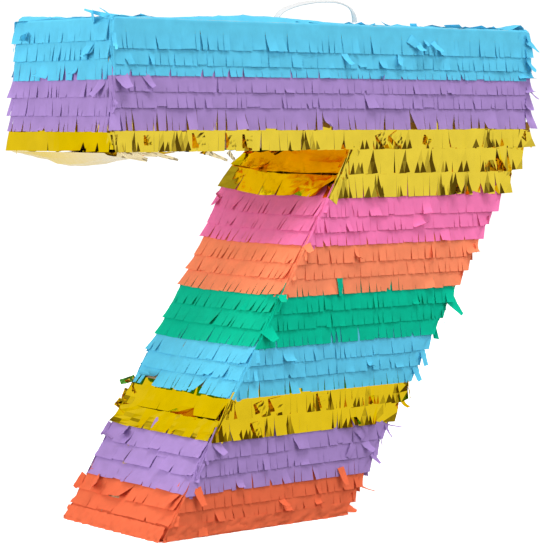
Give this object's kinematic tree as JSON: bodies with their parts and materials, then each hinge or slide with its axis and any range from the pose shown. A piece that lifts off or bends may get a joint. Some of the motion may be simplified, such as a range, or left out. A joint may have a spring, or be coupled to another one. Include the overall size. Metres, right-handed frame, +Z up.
{
  "type": "number seven pinata",
  "caption": "Free-standing hollow cardboard pinata shaped as a slanted numeral seven, covered in bands of fringed tissue and gold foil, with a hanging loop and a fill flap behind.",
  "frame": {"origin": "middle of the whole body in X and Y, at the flat underside of the foot that it stands on", "axes": "+Z up; +X to the right seen from the front, along the bar; -Y is the front face"},
  "size_m": [0.434, 0.138, 0.4224],
  "materials": {
    "cardboard": "plain brown corrugated board",
    "paper_tape": "matt kraft paper tape",
    "white_ribbon": "flat woven white ribbon",
    "blue_tissue": "thin matt tissue paper",
    "purple_tissue": "thin matt tissue paper",
    "pink_tissue": "thin matt tissue paper",
    "orange_tissue": "thin matt tissue paper",
    "green_tissue": "thin matt tissue paper",
    "coral_tissue": "thin matt tissue paper",
    "gold_foil": "mirror-bright metallised gold film, creased"
  },
  "bodies": {
    "shell": {"bar_left_end_wall": "cardboard", "bar_right_end_wall": "cardboard", "bar_underside_wall": "cardboard", "cord_tails": "white_ribbon", "edge_tapes": "paper_tape", "foot_base_paper": "coral_tissue", "foot_wall": "cardboard", "front_fringe_coral": "coral_tissue", "front_fringe_green": "green_tissue", "front_fringe_lower_blue": "blue_tissue", "front_fringe_lower_gold": "gold_foil", "front_fringe_lower_purple": "purple_tissue", "front_fringe_orange": "orange_tissue", "front_fringe_pink": "pink_tissue", "front_fringe_upper_blue": "blue_tissue", "front_fringe_upper_gold": "gold_foil", "front_fringe_upper_purple": "purple_tissue", "front_panel": "cardboard", "hanger_plate": "cardboard", "hinge_tape": "paper_tape", "left_fringe_coral": "coral_tissue", "left_fringe_green": "green_tissue", "left_fringe_lower_blue": "blue_tissue", "left_fringe_lower_gold": "gold_foil", "left_fringe_lower_purple": "purple_tissue", "left_fringe_orange": "orange_tissue", "left_fringe_pink": "pink_tissue", "left_fringe_upper_blue": "blue_tissue", "left_fringe_upper_gold": "gold_foil", "left_fringe_upper_purple": "purple_tissue", "leg_left_wall": "cardboard", "leg_right_wall": "cardboard", "rear_fringe_coral": "coral_tissue", "rear_fringe_green": "green_tissue", "rear_fringe_lower_blue": "blue_tissue", "rear_fringe_lower_gold": "gold_foil", "rear_fringe_lower_purple": "purple_tissue", "rear_fringe_orange": "orange_tissue", "rear_fringe_pink": "pink_tissue", "rear_fringe_upper_blue": "blue_tissue", "rear_fringe_upper_gold": "gold_foil", "rear_fringe_upper_purple": "purple_tissue", "rear_panel": "cardboard", "right_fringe_coral": "coral_tissue", "right_fringe_green": "green_tissue", "right_fringe_lower_blue": "blue_tissue", "right_fringe_lower_gold": "gold_foil", "right_fringe_lower_purple": "purple_tissue", "right_fringe_orange": "orange_tissue", "right_fringe_pink": "pink_tissue", "right_fringe_upper_blue": "blue_tissue", "right_fringe_upper_gold": "gold_foil", "right_fringe_upper_purple": "purple_tissue", "top_fringe": "blue_tissue", "top_wall": "cardboard", "underside_fringe": "gold_foil"},
    "flap": {"fill_flap": "cardboard", "flap_fringe_upper_blue": "blue_tissue", "flap_fringe_upper_purple": "purple_tissue"},
    "loop": {"hang_loop": "white_ribbon"}
  },
  "joints": [
    {"name": "fill_flap_hinge", "type": "hinge", "parent": "shell", "child": "flap", "pos_m": [-0.06, 0.0657, 0.371], "axis": [1, 0, 0], "range_deg": [0, 100], "deforming": ["hinge_tape"]},
    {"name": "hang_loop_swing", "type": "hinge", "parent": "shell", "child": "loop", "pos_m": [0.03475, 0, 0.4028], "axis": [1, 0, 0], "range_deg": [-75, 75]}
  ]
}
